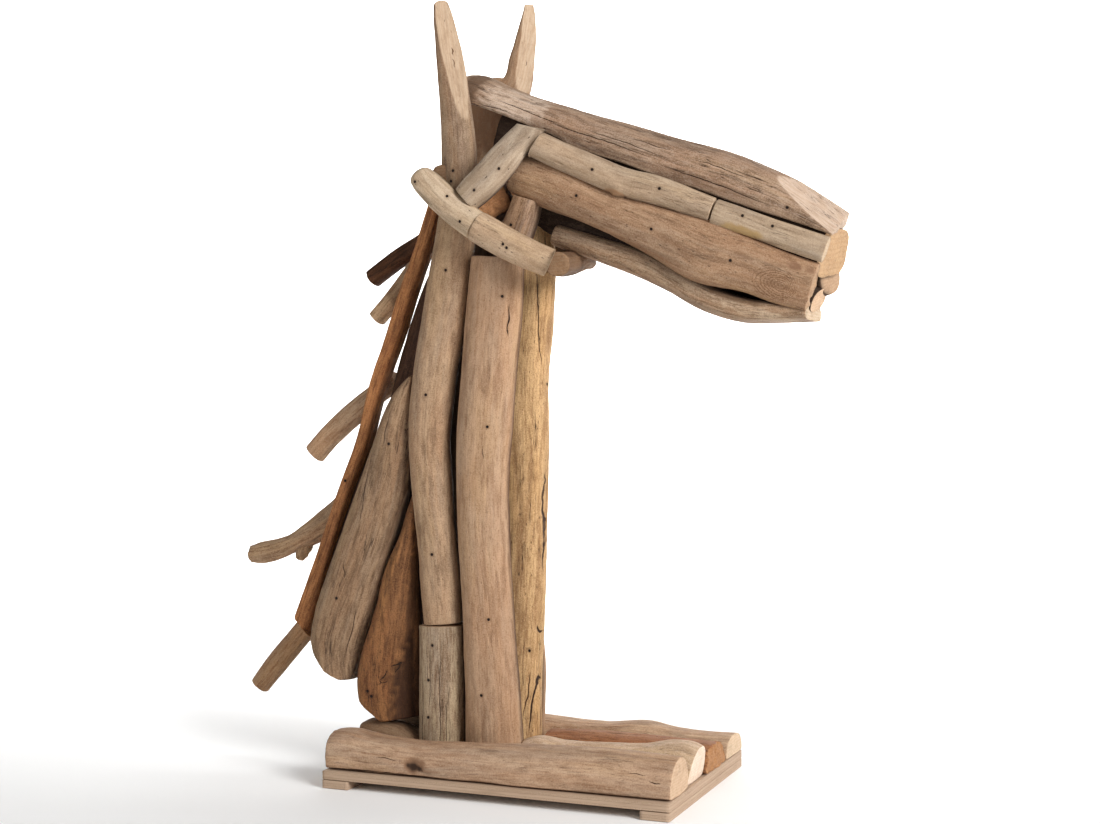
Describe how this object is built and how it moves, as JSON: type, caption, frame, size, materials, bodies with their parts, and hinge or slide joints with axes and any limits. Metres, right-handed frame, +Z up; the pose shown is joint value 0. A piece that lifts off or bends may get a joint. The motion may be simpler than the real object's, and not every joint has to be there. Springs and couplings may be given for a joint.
{
  "type": "driftwood horse head sculpture",
  "caption": "Horse head on an arched neck, built from weathered driftwood sticks nailed together, standing on half logs over a plywood board with runners.",
  "frame": {"origin": "middle of the whole object's box on the floor, at the undersides of the runners", "axes": "+Z up, +X towards the muzzle, -Y towards the near side that the picture shows"},
  "size_m": [0.6932, 0.262, 0.8414],
  "materials": {
    "tan_driftwood": "matt weathered driftwood, unvarnished",
    "grey_driftwood": "matt weathered driftwood, unvarnished",
    "cream_driftwood": "matt weathered driftwood, unvarnished",
    "red_driftwood": "matt weathered driftwood, unvarnished",
    "orange_driftwood": "matt weathered driftwood, unvarnished",
    "dark_driftwood": "matt weathered driftwood, unvarnished",
    "plywood": "matt raw plywood with bare edges"
  },
  "bodies": {
    "root": {"base_board": "plywood", "ear_far": "tan_driftwood", "ear_near": "grey_driftwood", "halter_crown": "orange_driftwood", "halter_far_back": "cream_driftwood", "halter_far_cheek": "cream_driftwood", "halter_far_front": "cream_driftwood", "halter_near_back": "cream_driftwood", "halter_near_cheek": "cream_driftwood", "halter_near_front": "cream_driftwood", "halter_throat": "tan_driftwood", "head_far_cheek": "tan_driftwood", "head_far_strip": "cream_driftwood", "head_jaw": "grey_driftwood", "head_lower_core": "orange_driftwood", "head_near_cheek": "tan_driftwood", "head_near_strip_back": "cream_driftwood", "head_near_strip_front": "cream_driftwood", "head_top": "grey_driftwood", "head_upper_core": "orange_driftwood", "log_back": "cream_driftwood", "log_front": "tan_driftwood", "log_three_mane": "grey_driftwood", "log_three_muzzle": "red_driftwood", "log_two_mane": "tan_driftwood", "log_two_muzzle": "cream_driftwood", "mane_stick_1": "dark_driftwood", "mane_stick_2": "cream_driftwood", "mane_stick_3": "tan_driftwood", "mane_stick_4": "grey_driftwood", "mane_stick_5": "tan_driftwood", "mane_strip": "red_driftwood", "neck_back": "dark_driftwood", "neck_cross_log": "red_driftwood", "neck_far_long": "grey_driftwood", "neck_far_slanting": "grey_driftwood", "neck_far_wedge": "red_driftwood", "neck_far_wide": "tan_driftwood", "neck_front": "orange_driftwood", "neck_near_long": "grey_driftwood", "neck_near_slanting": "grey_driftwood", "neck_near_stub": "grey_driftwood", "neck_near_wedge": "red_driftwood", "neck_near_wide": "tan_driftwood", "neck_short_post": "grey_driftwood", "runner_mane_end": "plywood", "runner_muzzle_end": "plywood"}
  },
  "joints": []
}
